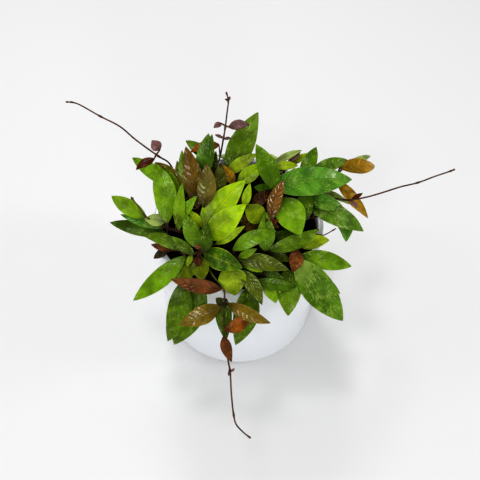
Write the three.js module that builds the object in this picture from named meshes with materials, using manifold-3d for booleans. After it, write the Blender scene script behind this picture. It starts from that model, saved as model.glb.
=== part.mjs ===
// A potted hoya, in millimetres, +Z up, with the origin at the centre of the planter's underside.
//
// A white cover planter holds a thin nursery pot filled with soil. Leafy stems stand in plain holes
// in the soil, and their leaves make a dome over the rim that hangs lowest at the front. Four long
// bare runners reach out past the leaves.

import * as THREE from 'three';
import { mergeVertices } from 'three/addons/utils/BufferGeometryUtils.js';
import Module from 'manifold-3d';

const wasm = await Module();
wasm.setup();

// Planter
const planterHeight = 131;
const planterRimRadius = 72.5;
const planterFootRadius = 71.5;
const planterWall = 5;
const planterTaper = 1;
const planterFloor = 5;
const footRounding = 7;
const rimRounding = 1.6;
const footSteps = 3;
const rimSteps = 2;
const planterSides = 36;

// Nursery pot: a thin tapered cup with a stepped lip, standing on the planter's floor
const clearance = 0.3;
const nurseryBottom = planterFloor + clearance;
const nurseryTop = planterHeight - 8;
const nurseryStep = nurseryTop - 12;
const nurseryLipRadius = 66.2;
const nurseryStepRadius = 63.6;
const nurseryFloorRadius = 50;
const nurseryWall = 1.6;
const nurserySides = 30;
const drainHoles = 4;
const drainHoleRadius = 5;
const drainHoleSides = 10;
const drainCircleRadius = 32;

// How far a cutter passes through a face that it opens
const overcut = 1;

// Soil
const soilTop = planterHeight - 21;
const soilRings = 4;
const soilSides = 30;
const soilBump = 1.4;
const soilLump = 6;
const soilSwell = 10;
const stemHoleDepth = 22;
const holeSides = 6;

// Stems. A stem is a bar of this many lengths, and of two more for each joint.
const stemRadius = 1.4;
const stemSides = 5;
const stemLengths = 5;
const stemUpright = 5;
const lowestStalk = 12;
const runnerRadius = 1.1;
const runnerSides = 4;
const twigRadius = 0.9;
const twigSides = 4;
const stubRadius = 2.6;
const stubSides = 6;

// Leaves. Longer blades have more rows; a lower shoulder puts the widest place nearer the stalk.
const stalkWidth = 1.8;
const bladeThickness = 0.8;
const bladeFold = 0.16;
const bladeArch = 0.05;
const bladeShoulder = 0.8;
const bladeFullness = 0.85;
const shortBlade = 20;
const longBlade = 42;

// Dome that the leaves lie on: its crown, and how fast it falls to the sides and to the front
const domeTop = planterHeight + 78;
const domeBack = 40;
const domeSideFall = 0.0035;
const domeFrontFall = 0.0048;

// Low stems at the back: where they stand, and how far out and down their leaves hang
const lowRootRadius = 44;
const lowCrownRadius = 50;
const lowCrownHeight = planterHeight + 10;
const lowStalkReach = 12;
const lowTipHeight = planterHeight - 11;
const lowFan = [-7, 0, 7];
const lowFanLift = 4;
const lowBladeWidth = 12;

// Sight lines of the photograph: where it was taken from and how its pixels spread
const eye = new THREE.Vector3(1.6, -342, 582);
const eyeTilt = THREE.MathUtils.degToRad(54.5);
const focalPixels = 666.7;
const middlePixel = 240;

const finishes = {
  glaze: { color: '#eef1f3', roughness: 0.25 },
  plastic: { color: '#17120f', roughness: 0.5 },
  soil: { color: '#1d1511', roughness: 1 },
  green: { color: '#4f7f12', roughness: 0.35 },
  lime: { color: '#93ad1c', roughness: 0.35 },
  dark: { color: '#2c4d12', roughness: 0.35 },
  olive: { color: '#59601d', roughness: 0.35 },
  bronze: { color: '#7a5218', roughness: 0.35 },
  bark: { color: '#3b2b28', roughness: 0.6 },
};

// A place on the plant is a pixel of the photograph, [across, down], with a depth in millimetres
// under the dome. A leaf has its stalk end, its tip, its width and, where it curves sideways, a
// bow to the right as seen from its stalk.
const sprays = [
  {
    name: 'stem_centre_left',
    finish: 'lime',
    root: [-33, -24],
    joints: [[201, 250, 16], [194, 231, 18]],
    stub: [197.5, 247, 3],
    leaves: [
      { base: [204, 252], tip: [242.5, 268], wide: 17, deep: [9, 3] },
      { base: [204, 251], tip: [208, 223], wide: 12, deep: [8, -4] },
      { base: [206, 239], tip: [246, 204], wide: 19, deep: [11, 5] },
      { base: [202, 234], tip: [245.5, 180], wide: 22, deep: [15, 9], bow: -2 },
      { base: [216, 244], tip: [245, 226], wide: 8, deep: [14, 10] },
      { base: [199, 248], tip: [184.5, 213], wide: 13, deep: [10, 2] },
      { base: [201, 228], tip: [190, 210.5], wide: 9, deep: [13, 9] },
      { base: [194, 254], tip: [171.5, 236.5], wide: 8.5, deep: [10, 7] },
      { base: [192, 255], tip: [187, 266.5], wide: 4.5, deep: [10, 7] },
      { base: [193, 256], tip: [176, 283], wide: 18, deep: [18, 21] },
      { base: [200, 256], tip: [202, 281], wide: 14, deep: [16, 18] },
      { base: [198, 256], tip: [197.5, 266.5], wide: 6, deep: [12, 14] },
    ],
  },
  {
    name: 'stem_left',
    finish: 'green',
    root: [-46, 4],
    joints: [[180, 231, 24], [168, 228, 20], [150, 219, 16]],
    leaves: [
      { base: [146, 217], tip: [111, 196], wide: 13, deep: [14, 8] },
      { base: [163, 228], tip: [120, 214.3], wide: 8, deep: [20, 14] },
      { base: [166, 221], tip: [144.5, 219], wide: 10, deep: [14, 9] },
      { base: [167, 234], tip: [109, 222.3], wide: 12, deep: [24, 19] },
      { base: [167.5, 223], tip: [154, 163], wide: 19, deep: [12, 6], bow: 5.5 },
      { base: [179, 230], tip: [182.3, 183], wide: 9.5, deep: [9, 0] },
      { base: [177, 222], tip: [196.8, 196], wide: 9, deep: [8, 4] },
    ],
  },
  {
    name: 'stem_left_low',
    finish: 'green',
    root: [-50, -20],
    joints: [[182, 252, 20]],
    leaves: [
      { base: [181, 250], tip: [143, 236], wide: 10, deep: [17, 12], bow: 3.5 },
      { base: [186, 256], tip: [132.5, 301], wide: 15, deep: [14, 8], bow: -1 },
      { base: [174, 250], tip: [151, 244.5], wide: 6.5, deep: [32, 34] },
      { base: [170, 248], tip: [153.5, 258.5], wide: 7, deep: [34, 38] },
    ],
  },
  {
    name: 'stem_back_left',
    finish: 'bronze',
    root: [-33, 18],
    joints: [[190, 212, 26], [182, 202, 22]],
    leaves: [
      { base: [172, 186], tip: [131.5, 157], wide: 12, deep: [22, 16] },
      { base: [183, 200], tip: [154, 162], wide: 13, deep: [18, 13], bow: 4 },
      { base: [180, 202], tip: [165, 165.5], wide: 8, deep: [16, 12], bow: 1.5 },
      { base: [184.5, 194], tip: [177, 160.5], wide: 8, deep: [22, 16] },
      { base: [190, 196], tip: [181.5, 150], wide: 10, deep: [18, 14] },
      { base: [198, 208], tip: [185.3, 146], wide: 15.5, deep: [11, 6], bow: 2 },
      { base: [192, 172], tip: [187, 153], wide: 12, deep: [46, 50] },
    ],
  },
  {
    name: 'stem_back',
    finish: 'olive',
    root: [-10, 33],
    joints: [[206, 204, 24], [208, 180, 22]],
    leaves: [
      { base: [211, 160], tip: [185.5, 140.3], wide: 10, deep: [24, 19] },
      { base: [203, 176], tip: [208.5, 133], wide: 13, deep: [14, 8] },
      { base: [207, 174], tip: [212, 134], wide: 9, deep: [12, 6] },
      { base: [213, 174], tip: [216, 151], wide: 6, deep: [18, 14] },
      { base: [204, 207], tip: [206.6, 163.5], wide: 15, deep: [9, 3], bow: 2 },
      { base: [212, 201], tip: [220, 162.5], wide: 12, deep: [14, 9], bow: 3 },
      { base: [206, 158], tip: [206, 141], wide: 12, deep: [46, 50] },
    ],
  },
  {
    name: 'stem_back_middle',
    finish: 'green',
    root: [6, 30],
    joints: [[235, 196, 26], [229, 178, 22]],
    leaves: [
      { base: [234, 184], tip: [221.5, 164.5], wide: 9, deep: [16, 10] },
      { base: [229, 176], tip: [258, 111.5], wide: 21, deep: [24, 0] },
      { base: [227, 174], tip: [257.5, 153.5], wide: 10.5, deep: [18, 12] },
      { base: [238, 184], tip: [264, 164], wide: 12.5, deep: [16, 14] },
      { base: [244, 207], tip: [250, 183], wide: 7, deep: [14, 9] },
      { base: [236, 152], tip: [248, 131], wide: 14, deep: [46, 50] },
      { base: [232, 164], tip: [237, 148], wide: 10, deep: [46, 54] },
    ],
  },
  {
    name: 'stem_back_right',
    finish: 'green',
    root: [24, 26],
    joints: [[280, 194, 24], [284, 170, 26]],
    leaves: [
      { base: [276, 191], tip: [256.3, 144], wide: 16, deep: [7, 3] },
      { base: [274, 163], tip: [302, 150], wide: 6, deep: [22, 17] },
      { base: [288, 163], tip: [300.5, 151.5], wide: 5, deep: [22, 19] },
      { base: [274, 167], tip: [298, 165.5], wide: 8, deep: [18, 15] },
      { base: [290, 165], tip: [309, 153], wide: 6, deep: [26, 22] },
      { base: [301, 178], tip: [316.5, 146.8], wide: 12, deep: [16, 9] },
      { base: [274, 192], tip: [253.5, 187], wide: 9, deep: [21, 19] },
      { base: [268, 170], tip: [263, 153], wide: 12, deep: [50, 62] },
    ],
  },
  {
    name: 'stem_right_back',
    finish: 'bronze',
    root: [42, 12],
    joints: [[288, 190, 18], [314, 180, 20], [337, 174, 20]],
    leaves: [
      { base: [270, 187], tip: [353, 178.8], wide: 24, deep: [11, 5] },
      { base: [312, 171], tip: [349, 160], wide: 11, deep: [16, 13] },
      { base: [345, 167], tip: [371.5, 155.5], wide: 6.5, deep: [24, 16] },
      { base: [340, 168], tip: [375.5, 165], wide: 15, deep: [14, 11], bow: 1.5 },
      { base: [337, 181], tip: [368.7, 217.5], wide: 13, deep: [16, 13], bow: 2.5 },
      { base: [319, 190], tip: [350, 204], wide: 6, deep: [24, 26] },
      { base: [306, 176], tip: [309, 160], wide: 11, deep: [44, 54] },
    ],
  },
  {
    name: 'stem_right',
    finish: 'green',
    root: [48, -8],
    joints: [[304, 212, 26]],
    leaves: [
      { base: [308, 199], tip: [344, 208], wide: 13, deep: [19, 14] },
      { base: [308, 206], tip: [364.5, 231], wide: 18, deep: [23, 19], bow: -1 },
      { base: [341, 212], tip: [346.5, 241.5], wide: 16, deep: [30, 28] },
      { base: [300, 222], tip: [311.5, 193], wide: 17, deep: [17, 11], bow: -3.5 },
      { base: [280, 198], tip: [301, 235], wide: 24, deep: [13, 10] },
    ],
  },
  {
    name: 'stem_middle',
    finish: 'olive',
    root: [10, 0],
    joints: [[266, 250, 28], [264, 224, 20]],
    leaves: [
      { base: [271, 220], tip: [284.5, 179.5], wide: 11, deep: [7, 3], bow: -2.5 },
      { base: [252, 206], tip: [271, 190], wide: 10, deep: [20, 17] },
      { base: [263, 221], tip: [245, 205], wide: 16, deep: [20, 17] },
      { base: [259, 229], tip: [238.5, 216.5], wide: 14, deep: [23, 21] },
      { base: [265, 251], tip: [266, 212], wide: 14, deep: [15, 9] },
      { base: [267.5, 223.5], tip: [266, 218.5], wide: 3, deep: [13, 6] },
      { base: [272, 225], tip: [279.5, 227.5], wide: 3.5, deep: [12, 7] },
      { base: [271, 223.5], tip: [278.5, 219.5], wide: 4, deep: [12, 6] },
      { base: [269, 250], tip: [320, 229], wide: 12, deep: [16, 12], bow: 1.5 },
      { base: [270, 237], tip: [299, 233], wide: 8, deep: [23, 22] },
      { base: [270, 252], tip: [291, 261], wide: 8, deep: [24, 22] },
    ],
  },
  {
    name: 'stem_front_middle',
    finish: 'lime',
    root: [-2, -28],
    joints: [[236, 258, 24], [239, 270, 18]],
    leaves: [
      { base: [233, 250], tip: [276.5, 231], wide: 12, deep: [8, 2], bow: -2.5 },
      { base: [239, 257], tip: [257, 248.7], wide: 6.5, deep: [11, 5] },
      { base: [239, 259], tip: [289, 270], wide: 13, deep: [13, 6], bow: -2 },
      { base: [243, 264], tip: [263, 272], wide: 5, deep: [17, 14] },
      { base: [240, 270], tip: [262, 305], wide: 12, deep: [15, 7], bow: -2.5 },
      { base: [227, 267], tip: [235, 295.5], wide: 22, deep: [17.5, 13], bow: -2 },
    ],
  },
  {
    name: 'stem_right_front',
    finish: 'green',
    root: [36, -28],
    joints: [[297, 250, 25]],
    leaves: [
      { base: [297, 250], tip: [293, 272.5], wide: 12, deep: [16, 9] },
      { base: [301, 247], tip: [329.5, 240.3], wide: 12, deep: [25, 20], bow: -2.5 },
      { base: [301, 255], tip: [352, 266.5], wide: 15, deep: [20, 13] },
      { base: [294, 259], tip: [343.8, 321.3], wide: 26, deep: [17, 11], bow: 1 },
      { base: [310, 272], tip: [340.5, 293.8], wide: 9, deep: [28, 28] },
    ],
  },
  {
    name: 'stem_front_right',
    finish: 'green',
    root: [20, -42],
    joints: [[268, 274, 26], [256, 282, 22]],
    leaves: [
      { base: [256, 281], tip: [298, 287.3], wide: 10, deep: [15, 13] },
      { base: [264, 271], tip: [286, 281.7], wide: 8, deep: [18, 13] },
      { base: [287, 269], tip: [288.3, 316], wide: 20, deep: [21, 11] },
      { base: [268, 277], tip: [276, 303], wide: 14, deep: [20, 12] },
      { base: [250, 286], tip: [235.5, 345.5], wide: 20, deep: [17, 9], bow: -2 },
      { base: [262, 274], tip: [242, 264], wide: 9, deep: [24, 27] },
    ],
  },
  {
    name: 'stem_front_left',
    finish: 'dark',
    root: [-30, -46],
    joints: [[204, 279, 23]],
    leaves: [
      { base: [184, 281], tip: [167.3, 341.5], wide: 20, deep: [11, 4], bow: -4 },
      { base: [203, 286], tip: [174, 345], wide: 25, deep: [15, 9] },
    ],
  },
];

// A runner's route and leaves are pixels with a height above the planter's rim
const runners = [
  {
    name: 'runner_left',
    root: [-24, 14],
    route: [
      [184, 184, 28], [178, 178, 39], [169, 163, 50], [158.6, 156.3, 58], [136, 140, 70],
      [120, 126.6, 76], [100.6, 116.5, 81], [78, 104, 83], [71.5, 102.2, 82], [66.5, 102, 80],
    ],
    leaves: [
      { base: [159.8, 150, 62], tip: [152, 140.5, 67], wide: 9 },
      { base: [154, 159, 61], tip: [136, 169.3, 59], wide: 8.5 },
    ],
  },
  {
    name: 'runner_top',
    root: [-12, 45],
    route: [
      [213, 172, 43], [219, 160, 55], [222.9, 141.6, 72], [225.2, 127.7, 83],
      [227, 113, 95], [228.3, 100.3, 105], [226.3, 92.3, 111],
    ],
    leaves: [
      { base: [219, 145, 56], tip: [190.5, 151.5, 55], wide: 11 },
      { base: [229, 127, 84], tip: [249.5, 124.5, 86], wide: 9 },
      { base: [221.3, 123.4, 85], tip: [213.8, 127.6, 85], wide: 5 },
      { base: [222, 137.5, 76], tip: [215, 134.8, 78], wide: 2.6 },
      { base: [225, 138.8, 75], tip: [231, 138.2, 77], wide: 2.6 },
      { base: [227.6, 100.6, 105], tip: [225, 99.2, 107], wide: 2 },
      { base: [228.8, 99.6, 105], tip: [230.4, 96.6, 107], wide: 2 },
    ],
  },
  {
    name: 'runner_right',
    root: [50, 8],
    route: [
      [316, 206, 17], [328, 202, 24], [334, 199, 29], [341, 199.3, 39], [349.8, 200, 45],
      [367, 197, 46], [385, 191.8, 49], [400, 187, 51], [417.7, 182.7, 53], [436, 176, 55],
      [450.8, 171, 56], [454.6, 169.4, 56],
    ],
    leaves: [
      { base: [352, 199, 45], tip: [362.8, 193, 48], wide: 3.6 },
      { base: [351, 201, 45], tip: [357, 208, 46], wide: 4 },
    ],
  },
  {
    name: 'runner_front',
    root: [-22, -34],
    route: [
      [205, 262, 9], [214, 277, 11], [224, 290, 10], [224, 305, 7], [224, 334, 1],
      [228, 360, -6], [230, 371, -9], [231.5, 395, -15], [233.7, 415, -21], [236, 424, -23],
      [243, 432, -26], [250.5, 438, -29],
    ],
    leaves: [
      { base: [221, 289, 12], tip: [170.8, 279.5, 26], wide: 12 },
      { base: [219.5, 306, 8], tip: [179, 325, 2], wide: 15 },
      { base: [228, 303.5, 8], tip: [270.5, 323.5, 4], wide: 11 },
      { base: [225, 329.5, 2], tip: [252, 317, -2], wide: 12 },
      { base: [220, 299, 6], tip: [223.5, 337, -6], wide: 9 },
      { base: [226, 299, 6], tip: [226.5, 340, -7], wide: 9 },
      { base: [222.5, 303, 8], tip: [216, 298, 10], wide: 6 },
      { base: [223.5, 337, 1], tip: [231.5, 362, -3], wide: 8.5 },
      { base: [229.4, 371.5, -9], tip: [228.6, 376, -9], wide: 2 },
      { base: [231, 371, -9], tip: [234.6, 368.6, -7], wide: 2 },
    ],
  },
];

// Bare twigs that branch off a leafy stem
const twigs = [
  { stem: 'stem_left', route: [[150, 219, 33], [146, 217, 35], [138, 206, 38], [131, 197, 40]] },
  {
    stem: 'stem_right_front',
    route: [
      [297, 250, 17], [306, 242, 17], [315, 234.5, 21], [324, 235, 25], [330, 232, 28],
      [336, 228.5, 31],
    ],
  },
];

// Low stems at the back, by their direction from straight right and the reach of their leaves
const lowStems = [
  { name: 'stem_far_right', turn: 36, reach: 90 },
  { name: 'stem_far_back_right', turn: 64, reach: 86 },
  { name: 'stem_far_back', turn: 93, reach: 86 },
  { name: 'stem_far_back_left', turn: 119, reach: 86 },
  { name: 'stem_far_left', turn: 146, reach: 85 },
];

// A closed three.js geometry as a solid that can be joined and cut
function solidOf(geometry) {
  const shell = geometry.clone();
  shell.deleteAttribute('normal');
  shell.deleteAttribute('uv');
  const welded = mergeVertices(shell, 1e-5);
  return new wasm.Manifold(new wasm.Mesh({
    numProp: 3,
    vertProperties: new Float32Array(welded.attributes.position.array),
    triVerts: new Uint32Array(welded.index.array),
  }));
}

function geometryOf(solid) {
  const mesh = solid.getMesh();
  const geometry = new THREE.BufferGeometry();
  geometry.setAttribute('position', new THREE.BufferAttribute(mesh.vertProperties, 3));
  geometry.setIndex(new THREE.BufferAttribute(mesh.triVerts, 1));
  geometry.computeVertexNormals();
  return geometry;
}

function named(name, geometry, finish) {
  const mesh = new THREE.Mesh(geometry, new THREE.MeshStandardMaterial(finishes[finish]));
  mesh.name = name;
  return mesh;
}

// A profile of [radius, height] points turned round the planter's axis
function turned(profile, sides) {
  const points = profile.map(([radius, height]) => new THREE.Vector2(radius, height));
  return new THREE.LatheGeometry(points, sides).rotateX(Math.PI / 2);
}

// Points of a profile's rounded corner, between two directions in degrees
function rounded(centreRadius, centreHeight, radius, from, to, steps) {
  return Array.from({ length: steps + 1 }, (_, i) => {
    const angle = THREE.MathUtils.degToRad(from + ((to - from) * i) / steps);
    return [centreRadius + radius * Math.cos(angle), centreHeight + radius * Math.sin(angle)];
  });
}

// A round bar of a few flat sides along a smooth route
function bar(route, radius, sides, steps) {
  const corners = Array.from({ length: sides }, (_, i) => {
    const angle = (2 * Math.PI * i) / sides;
    return new THREE.Vector2(radius * Math.cos(angle), radius * Math.sin(angle));
  });
  return new THREE.ExtrudeGeometry(new THREE.Shape(corners), {
    steps,
    extrudePath: new THREE.CatmullRomCurve3(route, false, 'centripetal'),
  });
}

function uprightHole(x, y, radius, bottom, top, sides) {
  const hole = new THREE.CylinderGeometry(radius, radius, top - bottom, sides);
  return solidOf(hole.rotateX(Math.PI / 2).translate(x, y, (top + bottom) / 2));
}

function sightLine([across, down]) {
  const right = (across - middlePixel) / focalPixels;
  const up = (middlePixel - down) / focalPixels;
  return new THREE.Vector3(
    right,
    Math.cos(eyeTilt) + up * Math.sin(eyeTilt),
    -Math.sin(eyeTilt) + up * Math.cos(eyeTilt),
  );
}

// Where a pixel's sight line passes a height above the rim
function atHeight([across, down, height]) {
  const line = sightLine([across, down]);
  return eye.clone().addScaledVector(line, (planterHeight + height - eye.z) / line.z);
}

// Where a pixel's sight line first meets the dome lowered by the given depth
function onDome([across, down], depth) {
  const line = sightLine([across, down]);
  const backward = eye.y - domeBack;
  const a = domeSideFall * line.x ** 2 + domeFrontFall * line.y ** 2;
  const b = 2 * (domeSideFall * eye.x * line.x + domeFrontFall * backward * line.y) + line.z;
  const c = eye.z - domeTop + depth + domeSideFall * eye.x ** 2 + domeFrontFall * backward ** 2;
  const reach = (-b - Math.sqrt(Math.max(0, b * b - 4 * a * c))) / (2 * a);
  return eye.clone().addScaledVector(line, reach);
}

function domeNormal(point) {
  return new THREE.Vector3(
    2 * domeSideFall * point.x,
    2 * domeFrontFall * (point.y - domeBack),
    1,
  ).normalize();
}

// Share of a blade's full width at a place along it, from 0 at the stalk to 1 at the pointed tip
function outline(along) {
  return Math.sin(Math.PI * along ** bladeShoulder) ** bladeFullness;
}

// A leaf: a strip along its stalk and midrib, folded and arched, and closed into a thin solid. Its
// rows run from the joint on the stem, by the blade's stalk end, to the tip.
function leafSolid(joint, base, tip, wide, bow = 0, up = domeNormal(base.clone().lerp(tip, 0.5))) {
  const axis = tip.clone().sub(base);
  const long = axis.length();
  axis.normalize();
  const normal = up.clone().addScaledVector(axis, -up.dot(axis)).normalize();
  const side = axis.clone().cross(normal);
  const rows = 2 + (long > shortBlade) + (long > longBlade);
  const spine = [joint];
  const widths = [stalkWidth];
  for (let row = 0; row <= rows; row += 1) {
    const along = row / rows;
    const middle = 4 * along * (1 - along);
    spine.push(base.clone()
      .addScaledVector(axis, along * long)
      .addScaledVector(side, bow * middle)
      .addScaledVector(normal, bladeArch * long * middle));
    widths.push(Math.max(stalkWidth, wide * outline(along)));
  }
  widths[widths.length - 1] = stalkWidth / 2;
  return solidOf(stripGeometry(spine, widths, normal));
}

// A folded strip of given widths along its spine, closed into a thin solid
function stripGeometry(spine, widths, normal) {
  const rows = spine.length - 1;
  const sheet = new THREE.PlaneGeometry(1, rows, 2, rows);
  const place = sheet.attributes.position;
  const { count } = place;
  const corners = new Float32Array(count * 6);
  for (let i = 0; i < count; i += 1) {
    const row = Math.round(place.getY(i) + rows / 2);
    const ahead = spine[Math.min(row + 1, rows)].clone().sub(spine[Math.max(row - 1, 0)]);
    const side = ahead.cross(normal).normalize();
    const across = place.getX(i) * widths[row];
    const point = spine[row].clone()
      .addScaledVector(side, across)
      .addScaledVector(normal, bladeFold * Math.abs(across) + bladeThickness / 2);
    point.toArray(corners, i * 3);
    point.addScaledVector(normal, -bladeThickness).toArray(corners, (count + i) * 3);
  }
  const top = Array.from(sheet.index.array);
  const faces = [...top];
  for (let i = 0; i < top.length; i += 3) {
    faces.push(count + top[i], count + top[i + 2], count + top[i + 1]);
  }
  stripEdge(rows).forEach((from, i, edge) => {
    const to = edge[(i + 1) % edge.length];
    faces.push(from, count + from, count + to, from, count + to, to);
  });
  const geometry = new THREE.BufferGeometry();
  geometry.setAttribute('position', new THREE.BufferAttribute(corners, 3));
  geometry.setIndex(faces);
  return geometry;
}

// The sheet's corners round its edge, counter-clockwise from the left end of the tip row
function stripEdge(rows) {
  const edge = [];
  for (let row = 0; row < rows; row += 1) edge.push(row * 3);
  for (let column = 0; column < 2; column += 1) edge.push(rows * 3 + column);
  for (let row = rows; row > 0; row -= 1) edge.push(row * 3 + 2);
  for (let column = 2; column > 0; column -= 1) edge.push(column);
  return edge;
}

// The route of a stem out of its hole in the soil and up through its joints
function stemRoute([x, y], joints) {
  const upright = [-stemHoleDepth, -stemHoleDepth / 2, 0, stemUpright];
  return [...upright.map((lift) => new THREE.Vector3(x, y, soilTop + lift)), ...joints];
}

// Points evenly along a route's smooth curve: the corners of the bar that follows it
function spineOf(route, steps) {
  return new THREE.CatmullRomCurve3(route, false, 'centripetal').getSpacedPoints(steps);
}

function nearest(points, target) {
  return points.reduce((a, b) => (a.distanceTo(target) <= b.distanceTo(target) ? a : b));
}

function twigSolid(route) {
  return solidOf(bar(route, twigRadius, twigSides, route.length));
}

function spraySolid({ name, root, joints, stub, leaves }) {
  const knots = joints.map(([across, down, depth]) => onDome([across, down], depth));
  const route = stemRoute(root, knots);
  const steps = stemLengths + 2 * knots.length;
  const spine = spineOf(route, steps).filter((point) => point.z > soilTop + lowestStalk);
  let solid = solidOf(bar(route, stemRadius, stemSides, steps));
  leaves.forEach((leaf) => {
    const base = onDome(leaf.base, leaf.deep[0]);
    const tip = onDome(leaf.tip, leaf.deep[1]);
    solid = solid.add(leafSolid(nearest(spine, base), base, tip, leaf.wide, leaf.bow));
  });
  if (stub) {
    const end = onDome([stub[0], stub[1]], stub[2]);
    solid = solid.add(solidOf(bar([nearest(spine, end), end], stubRadius, stubSides, 1)));
  }
  twigs.filter((twig) => twig.stem === name).forEach((twig) => {
    const places = twig.route.map(atHeight);
    solid = solid.add(twigSolid([nearest(spine, places[0]), ...places.slice(1)]));
  });
  return solid;
}

function runnerSolid({ root, route, leaves }) {
  const places = stemRoute(root, route.map(atHeight));
  const steps = stemLengths + places.length;
  const spine = spineOf(places, steps);
  let solid = solidOf(bar(places, runnerRadius, runnerSides, steps));
  leaves.forEach((leaf) => {
    const base = atHeight(leaf.base);
    const tip = atHeight(leaf.tip);
    solid = solid.add(leafSolid(nearest(spine, base), base, tip, leaf.wide));
  });
  return solid;
}

// A low stem stands in the soil and fans its leaves out and down over the rim
function lowSolid({ turn, reach }) {
  const out = (degrees, radius, height) => {
    const angle = THREE.MathUtils.degToRad(turn + degrees);
    return new THREE.Vector3(radius * Math.cos(angle), radius * Math.sin(angle), height);
  };
  const crown = out(0, lowCrownRadius, lowCrownHeight);
  const route = stemRoute(lowRoot({ turn }), [crown]);
  const up = new THREE.Vector3(0, 0, 1);
  let solid = solidOf(bar(route, stemRadius, stemSides, stemLengths));
  lowFan.forEach((spread, i) => {
    const lift = i % 2 === 0 ? 0 : lowFanLift;
    const stalkEnd = lowCrownRadius + lowStalkReach;
    const base = out(spread, stalkEnd, lowCrownHeight + lift);
    const tip = out(spread, reach, lowTipHeight + lift);
    solid = solid.add(leafSolid(crown, base, tip, lowBladeWidth, 0, up));
  });
  return solid;
}

function lowRoot({ turn }) {
  const angle = THREE.MathUtils.degToRad(turn);
  return [lowRootRadius * Math.cos(angle), lowRootRadius * Math.sin(angle)];
}

function planterGeometry() {
  const inside = planterRimRadius - planterWall;
  const edge = planterHeight - rimRounding;
  const hollow = inside - planterTaper - footRounding;
  return turned([
    [0, 0],
    ...rounded(planterFootRadius - footRounding, footRounding, footRounding, -90, 0, footSteps),
    ...rounded(planterRimRadius - rimRounding, edge, rimRounding, 0, 90, rimSteps),
    ...rounded(inside + rimRounding, edge, rimRounding, 90, 180, rimSteps),
    ...rounded(hollow, planterFloor + footRounding, footRounding, 0, -90, rimSteps),
    [0, planterFloor],
  ], planterSides);
}

function nurseryGeometry() {
  const cup = turned([
    [0, nurseryBottom],
    [nurseryFloorRadius, nurseryBottom],
    [nurseryStepRadius, nurseryStep],
    [nurseryLipRadius, nurseryStep + nurseryWall],
    [nurseryLipRadius, nurseryTop],
    [nurseryLipRadius - nurseryWall, nurseryTop],
    [nurseryLipRadius - nurseryWall, nurseryStep + 2 * nurseryWall],
    [nurseryStepRadius - nurseryWall, nurseryStep + nurseryWall],
    [nurseryFloorRadius - nurseryWall, nurseryBottom + nurseryWall],
    [0, nurseryBottom + nurseryWall],
  ], nurserySides);
  let solid = solidOf(cup);
  for (let i = 0; i < drainHoles; i += 1) {
    const angle = (2 * Math.PI * i) / drainHoles;
    const x = drainCircleRadius * Math.cos(angle);
    const y = drainCircleRadius * Math.sin(angle);
    const bottom = nurseryBottom - overcut;
    const top = nurseryBottom + nurseryWall + overcut;
    solid = solid.subtract(uprightHole(x, y, drainHoleRadius, bottom, top, drainHoleSides));
  }
  return geometryOf(solid);
}

// The soil fills the nursery pot; its top is lumpy, and each stem has a plain hole in it
function soilGeometry(stems) {
  const floor = nurseryBottom + nurseryWall;
  const slope = (nurseryStepRadius - nurseryFloorRadius) / (nurseryStep - nurseryBottom);
  const radiusAt = (height) => nurseryFloorRadius - nurseryWall - clearance + slope * (height - floor);
  const bottom = floor + clearance;
  const shoulder = soilTop - soilBump;
  const topRadius = radiusAt(shoulder);
  const profile = [[0, bottom], [radiusAt(bottom), bottom], [topRadius, shoulder]];
  for (let ring = soilRings - 1; ring >= 0; ring -= 1) {
    profile.push([(topRadius * ring) / soilRings, soilTop]);
  }
  const lump = turned(profile, soilSides);
  const place = lump.attributes.position;
  for (let i = 0; i < place.count; i += 1) {
    if (place.getZ(i) > soilTop - soilBump / 2) {
      const x = place.getX(i);
      const y = place.getY(i);
      const bump = Math.sin(x / soilLump + y / soilSwell) * Math.cos(y / soilLump - x / soilSwell);
      place.setZ(i, soilTop + soilBump * bump);
    }
  }
  let solid = solidOf(lump);
  stems.forEach(([x, y, radius]) => {
    const corner = (radius + clearance) / Math.cos(Math.PI / holeSides);
    const foot = soilTop - stemHoleDepth - clearance;
    const top = soilTop + soilBump + overcut;
    solid = solid.subtract(uprightHole(x, y, corner, foot, top, holeSides));
  });
  return geometryOf(solid);
}

const holes = [
  ...sprays.map(({ root }) => [...root, stemRadius]),
  ...runners.map(({ root }) => [...root, runnerRadius]),
  ...lowStems.map((stem) => [...lowRoot(stem), stemRadius]),
];

const hoya = new THREE.Group();
hoya.add(named('planter', planterGeometry(), 'glaze'));
hoya.add(named('nursery_pot', nurseryGeometry(), 'plastic'));
hoya.add(named('soil', soilGeometry(holes), 'soil'));
sprays.forEach((spray) => {
  hoya.add(named(spray.name, geometryOf(spraySolid(spray)), spray.finish));
});
lowStems.forEach((stem) => {
  hoya.add(named(stem.name, geometryOf(lowSolid(stem)), 'dark'));
});
runners.forEach((runner) => {
  hoya.add(named(runner.name, geometryOf(runnerSolid(runner)), 'bark'));
});

export default hoya;
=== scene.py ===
"""A potted hoya in a white planter, seen from above its front, in metres, with +Z up."""

import math
import random
from collections import namedtuple

import bmesh
import bpy
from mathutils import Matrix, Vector, noise


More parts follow.
